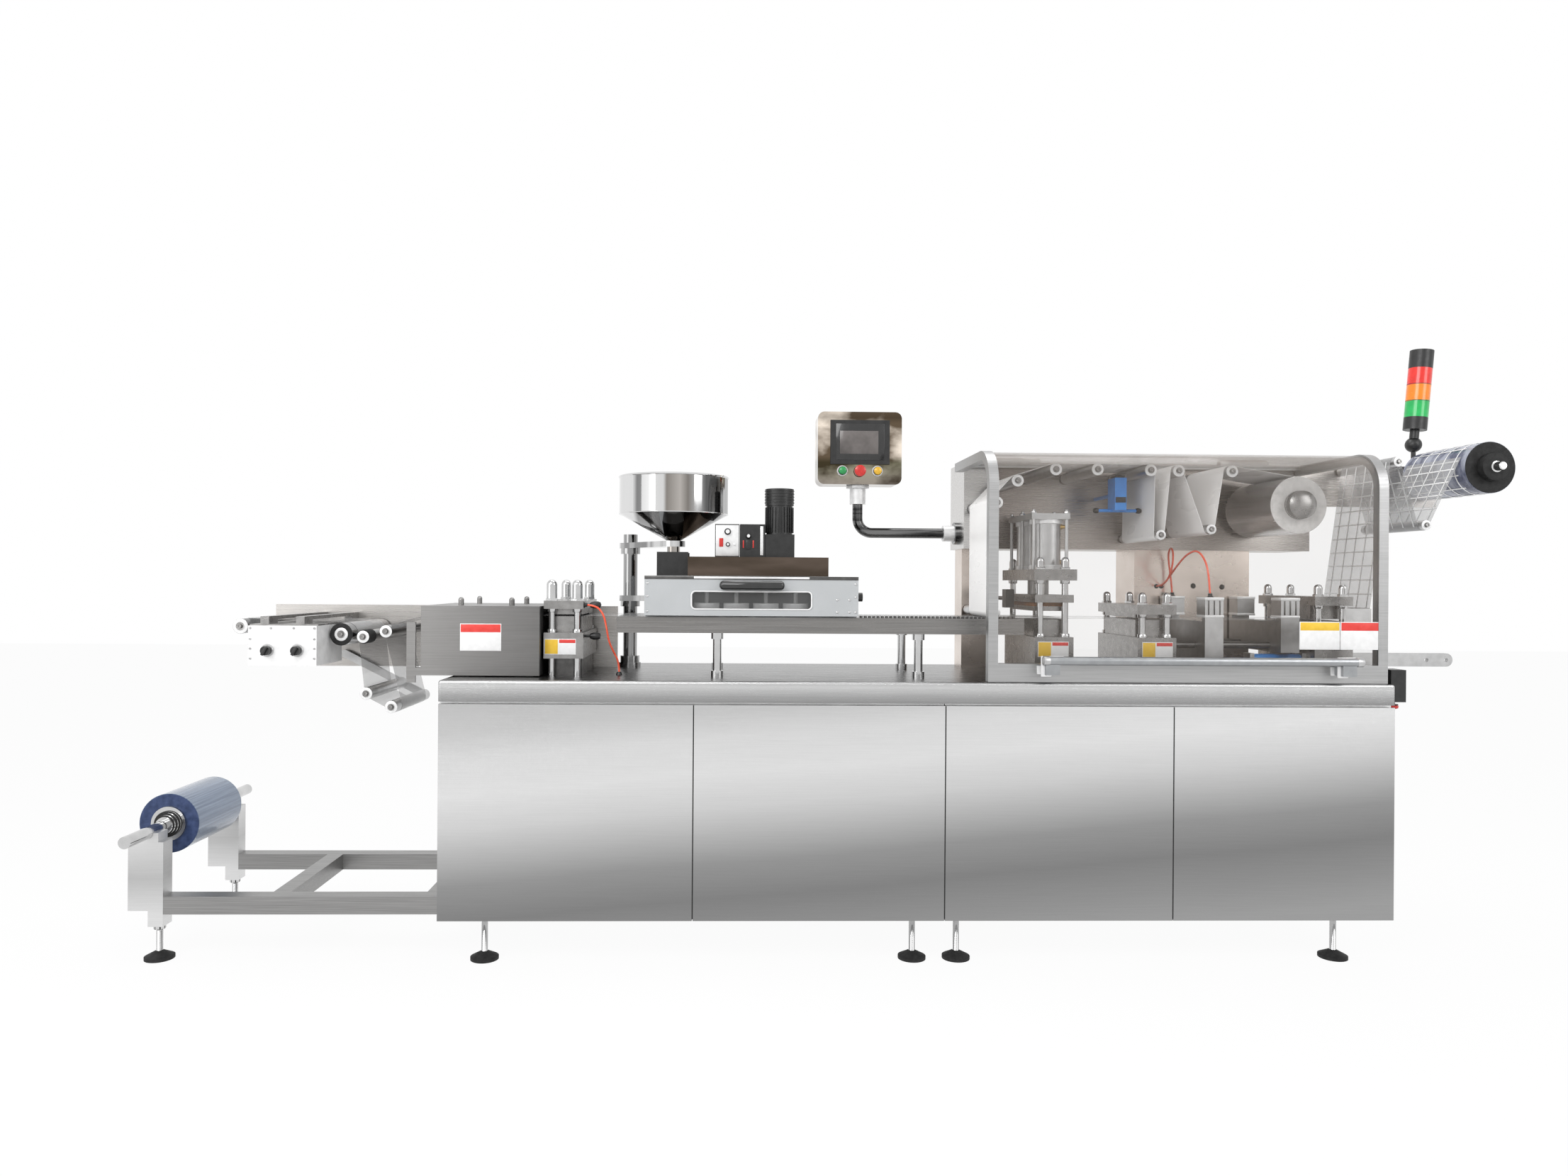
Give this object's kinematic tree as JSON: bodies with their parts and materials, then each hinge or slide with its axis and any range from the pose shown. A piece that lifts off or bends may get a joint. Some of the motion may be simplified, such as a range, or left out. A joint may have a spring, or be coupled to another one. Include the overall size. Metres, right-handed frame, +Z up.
{
  "type": "blister packing machine",
  "caption": "Flat-plate blister packing machine: film unwinder, heating and forming presses, hopper and brush feeder, hooded foil sealing station, grippers, punch and waste winder.",
  "frame": {"origin": "on the floor under the middle of the overall box", "axes": "+X along the film's travel, from the film reel to the waste reel; +Y into the machine, away from the operator; +Z up"},
  "size_m": [4.098, 0.74, 1.8679],
  "materials": {
    "stainless": "brushed",
    "polished": "polished",
    "satin_metal": "satin",
    "dark_metal": "satin",
    "grey_paint": "satin",
    "rubber": "matte",
    "black_plastic": "matte",
    "blue_film": "glossy",
    "clear_film": "clear",
    "foil": "satin",
    "acrylic": "clear",
    "lens": "glossy",
    "waste": "glossy",
    "brush": "matte",
    "red_hose": "glossy",
    "blue_paint": "satin"
  },
  "bodies": {
    "machine": {"cabinet_bases": "stainless", "cabinet_doors": "stainless", "table_pan": "polished", "levelling_feet": "rubber", "unwinder_posts": "stainless", "unwinder_rails": "stainless", "infeed_plate": "stainless", "switch_box": "stainless", "switch_knobs": "black_plastic", "splice_table": "stainless", "infeed_rollers": "satin_metal", "dancer": "satin_metal", "heating_cover": "stainless", "heating_plates": "satin_metal", "forming_base": "dark_metal", "press_blocks": "satin_metal", "press_columns": "polished", "press_plates": "satin_metal", "sealing_cylinders": "satin_metal", "hopper_stand": "polished", "hopper": "polished", "chute": "dark_metal", "feeder_housing": "grey_paint", "feeder_window": "acrylic", "feeder_handle": "black_plastic", "feeder_brushes": "brush", "drive_box": "stainless", "speed_controls": "grey_paint", "feeder_motor": "dark_metal", "guide_track": "satin_metal", "track_legs": "polished", "panel_arm": "stainless", "back_beam": "stainless", "beam_legs": "stainless", "guide_rollers": "satin_metal", "fixed_gripper": "satin_metal", "guide_rods": "polished", "lamp_stand": "black_plastic", "lamp_lenses": "lens", "discharge_bar": "stainless", "stop_button": "dark_metal", "mark_sensor": "black_plastic", "film_web": "clear_film", "foil_web": "foil", "foil_sensor": "blue_paint", "index_cylinder": "blue_paint", "hose_far": "red_hose", "hose_near": "red_hose", "forming_hose": "red_hose"},
    "film_reel": {"film_shaft": "polished", "film_roll": "blue_film"},
    "foil_reel": {"foil_roll": "foil"},
    "waste_reel": {"waste_roll": "waste"},
    "operator_panel": {"panel_box": "grey_paint", "panel_controls": "black_plastic"},
    "hood": {"hood_frame": "acrylic", "hood_glass": "acrylic", "hood_grip": "satin_metal"},
    "sealing_press": {"sealing_platen": "satin_metal"},
    "index_gripper": {"moving_gripper": "satin_metal"}
  },
  "joints": [
    {"name": "film_reel_spin", "type": "hinge", "parent": "machine", "child": "film_reel", "pos_m": [-1.962, 0, 0.362], "axis": [0, 1, 0], "continuous": true},
    {"name": "foil_reel_spin", "type": "hinge", "parent": "machine", "child": "foil_reel", "pos_m": [1.386, 0, 1.325], "axis": [0, 1, 0], "continuous": true},
    {"name": "waste_reel_spin", "type": "hinge", "parent": "machine", "child": "waste_reel", "pos_m": [1.971, 0, 1.444], "axis": [0, 1, 0], "continuous": true},
    {"name": "panel_swivel", "type": "hinge", "parent": "machine", "child": "operator_panel", "pos_m": [0.11, 0.25, 1.4], "axis": [0, 0, 1], "range_deg": [-60, 60]},
    {"name": "hood_lift", "type": "hinge", "parent": "machine", "child": "hood", "pos_m": [0.994, 0.166, 1.488], "axis": [-1, 0, 0], "range_deg": [0, 60]},
    {"name": "sealing_stroke", "type": "slide", "parent": "machine", "child": "sealing_press", "axis": [0, 0, -1], "range_m": [0, 0.015]},
    {"name": "gripper_stroke", "type": "slide", "parent": "machine", "child": "index_gripper", "axis": [-1, 0, 0], "range_m": [0, 0.12]}
  ]
}
